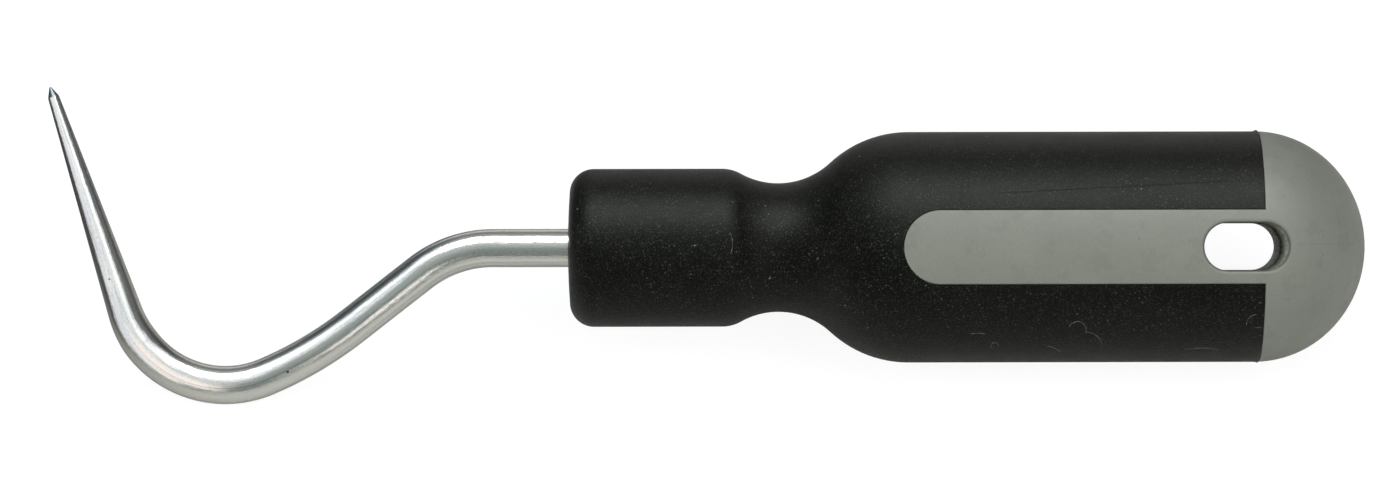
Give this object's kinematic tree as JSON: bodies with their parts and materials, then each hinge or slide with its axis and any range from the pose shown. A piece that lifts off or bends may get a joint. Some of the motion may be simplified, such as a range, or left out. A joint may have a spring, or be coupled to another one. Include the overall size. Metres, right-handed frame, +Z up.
{
  "type": "dismantling hook",
  "caption": "Hand tool with a pointed, bent steel hook for pulling out seals and hoses, in a round two-part handle with a soft grip and a hanging slot.",
  "frame": {"origin": "middle of the tool's box, on the ground that it lies on", "axes": "+X along the handle from the hook to the butt, +Z up; the tool lies on the barrel of the handle and the bend of the rod, with the plane of the hook leaning 45 degrees back from the ground"},
  "size_m": [0.2066, 0.0362, 0.0362],
  "materials": {
    "polished_steel": "polished",
    "hard_grey_plastic": "satin",
    "soft_black_rubber": "matte"
  },
  "bodies": {
    "root": {"hook": "polished_steel", "handle_core": "hard_grey_plastic", "grip": "soft_black_rubber"}
  },
  "joints": []
}
